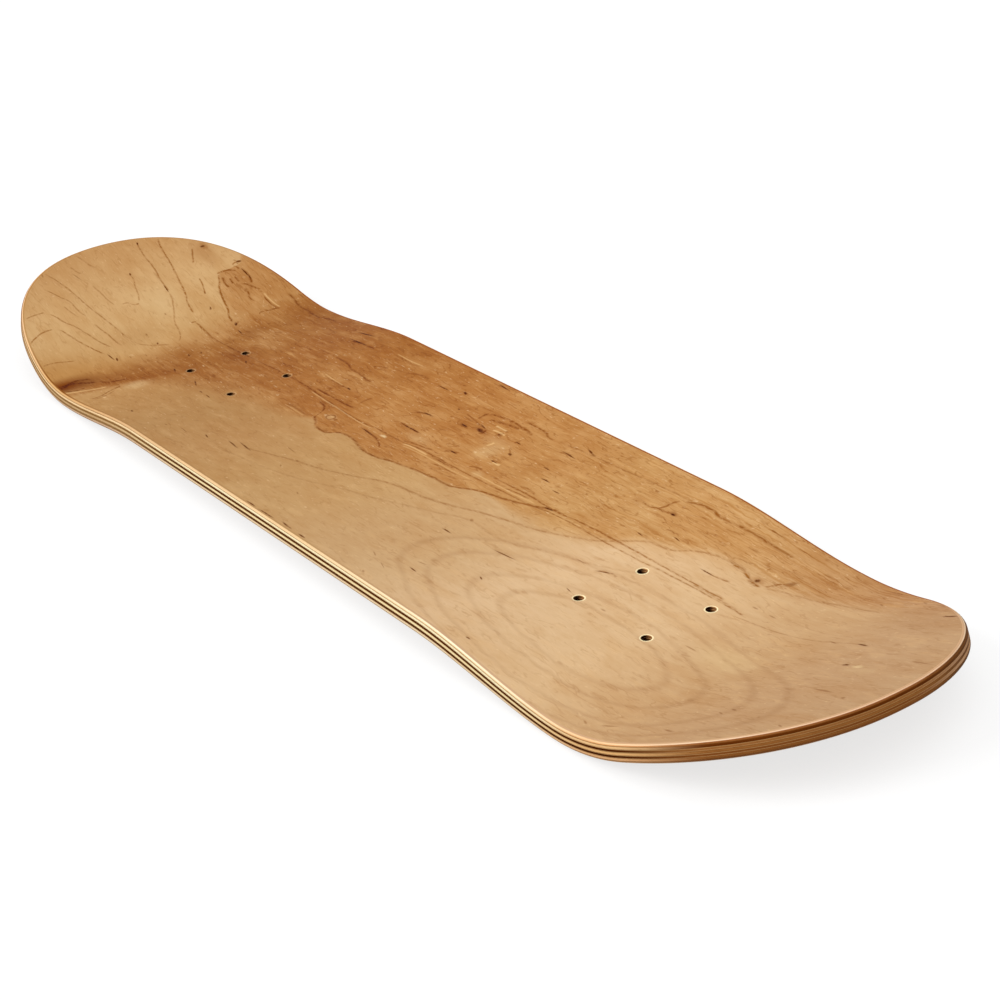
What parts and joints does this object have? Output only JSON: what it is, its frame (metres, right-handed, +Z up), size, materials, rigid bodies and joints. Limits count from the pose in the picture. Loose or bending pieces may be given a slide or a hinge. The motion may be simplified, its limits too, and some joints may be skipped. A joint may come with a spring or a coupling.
{
  "type": "skateboard deck",
  "caption": "Bare pressed-maple skateboard deck with raised nose and tail, a concave standing face, rounded edges and two rectangular patterns of truck bolt holes.",
  "frame": {"origin": "midway between the two truck bolt patterns, on the level strip of the underside", "axes": "+X along the board from the tail to the nose, +Y across the board, +Z up out of the standing face"},
  "size_m": [0.7932, 0.2058, 0.0489],
  "materials": {
    "lacquered_face_maple": "clear satin lacquer over sanded maple, grain along the board",
    "core_maple": "sanded and sealed edge of a long-grain veneer",
    "crossband_maple": "dark end grain of a cross-grain veneer, sanded and sealed"
  },
  "bodies": {
    "root": {"top_face_veneer": "lacquered_face_maple", "upper_core_veneer": "core_maple", "upper_crossband_veneer": "crossband_maple", "centre_core_veneer": "core_maple", "lower_crossband_veneer": "crossband_maple", "lower_core_veneer": "core_maple", "bottom_face_veneer": "lacquered_face_maple"}
  },
  "joints": []
}
